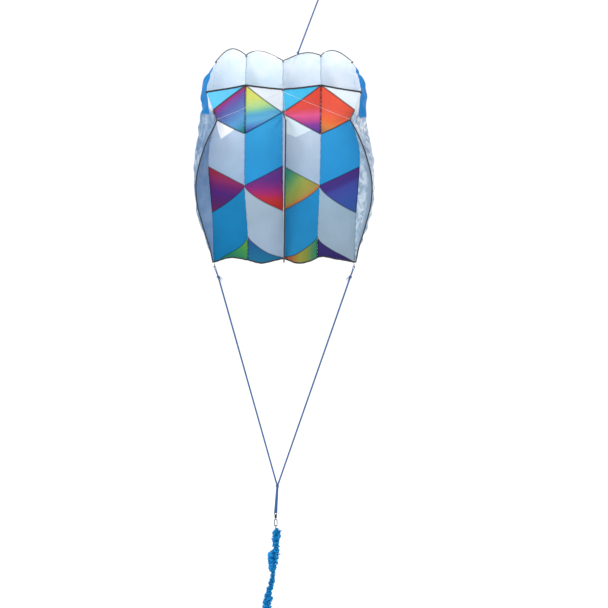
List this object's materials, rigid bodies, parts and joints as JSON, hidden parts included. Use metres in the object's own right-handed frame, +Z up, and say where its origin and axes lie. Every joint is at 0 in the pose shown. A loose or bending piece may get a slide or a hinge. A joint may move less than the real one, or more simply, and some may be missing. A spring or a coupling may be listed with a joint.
{
  "type": "parafoil kite",
  "caption": "Soft kite with open ram-air cells, keels and a bridle, hanging from its flying line, with a corner bridle, clip swivel and fuzzy tail.",
  "frame": {"origin": "centre of the flying line's end loop, where the kite is held", "axes": "+Z up the hanging kite towards its leading edge, +X along the span, +Y from the bottom skin to the top skin"},
  "size_m": [0.5726, 0.314, 2.2073],
  "materials": {
    "pattern_cloth": "printed ripstop nylon, satin",
    "blue_cloth": "ripstop nylon, satin",
    "white_cloth": "ripstop nylon, satin",
    "black_tape": "woven binding tape",
    "white_line": "fine braided line",
    "grey_line": "braided polyester line",
    "steel": "plated steel wire",
    "navy_metal": "dark blue coated metal",
    "tail_cloth": "gathered light nylon strip"
  },
  "bodies": {
    "line": {"line_end_loop": "grey_line", "flying_line": "grey_line", "line_knot": "grey_line", "leader": "white_line", "tow_ring": "steel"},
    "kite": {"bottom_panel_1": "pattern_cloth", "bottom_panel_2": "pattern_cloth", "bottom_panel_3": "pattern_cloth", "bottom_panel_4": "pattern_cloth", "top_panel_1": "white_cloth", "top_panel_2": "white_cloth", "top_panel_3": "white_cloth", "top_panel_4": "white_cloth", "side_wall_left": "blue_cloth", "side_wall_right": "blue_cloth", "rib_left": "white_cloth", "rib_centre": "white_cloth", "rib_right": "white_cloth", "keel_left": "white_cloth", "keel_centre": "white_cloth", "keel_right": "white_cloth", "bottom_front_binding": "black_tape", "top_front_binding": "black_tape", "rear_binding": "black_tape", "keel_binding_left": "black_tape", "keel_binding_centre": "black_tape", "keel_binding_right": "black_tape", "tow_loop_left": "black_tape", "tow_loop_centre": "black_tape", "tow_loop_right": "black_tape", "bridle_leg_left": "white_line", "bridle_leg_centre": "white_line", "bridle_leg_right": "white_line", "bridle_knot": "white_line", "corner_loop_left": "black_tape", "corner_loop_right": "black_tape"},
    "tail_bridle": {"tail_line_left": "grey_line", "tail_line_right": "grey_line", "tail_knot_left": "grey_line", "tail_knot_right": "grey_line", "junction_knot": "grey_line", "doubled_tail_line": "grey_line", "swivel_barrel": "navy_metal"},
    "clip": {"swivel_pin": "steel", "clip_frame": "navy_metal"},
    "clip_gate": {"clip_gate": "steel"},
    "tail": {"tail_header_loop": "grey_line", "tail_core": "grey_line", "tail_fringe": "tail_cloth", "tail_bundle": "tail_cloth", "tail_tie": "grey_line", "tail_end_knot": "grey_line"}
  },
  "joints": [
    {"name": "kite_pitch", "type": "hinge", "parent": "line", "child": "kite", "pos_m": [-0.117, 0, -0.295], "axis": [1, 0, 0], "range_deg": [-25, 25]},
    {"name": "tail_bridle_swing", "type": "hinge", "parent": "kite", "child": "tail_bridle", "pos_m": [-0.117, 0.1812, -0.8952], "axis": [1, 0, 0], "range_deg": [-60, 60]},
    {"name": "swivel_spin", "type": "hinge", "parent": "tail_bridle", "child": "clip", "pos_m": [-0.148, 0.1812, -1.7612], "axis": [0, 0, 1], "continuous": true},
    {"name": "gate_hinge", "type": "hinge", "parent": "clip", "child": "clip_gate", "pos_m": [-0.1435, 0.1812, -1.7857], "axis": [0, -1, 0], "range_deg": [0, 25], "stiffness_Nm_per_rad": 0.002},
    {"name": "tail_swing", "type": "hinge", "parent": "clip", "child": "tail", "pos_m": [-0.148, 0.1812, -1.7912], "axis": [1, 0, 0], "range_deg": [-60, 60]}
  ]
}
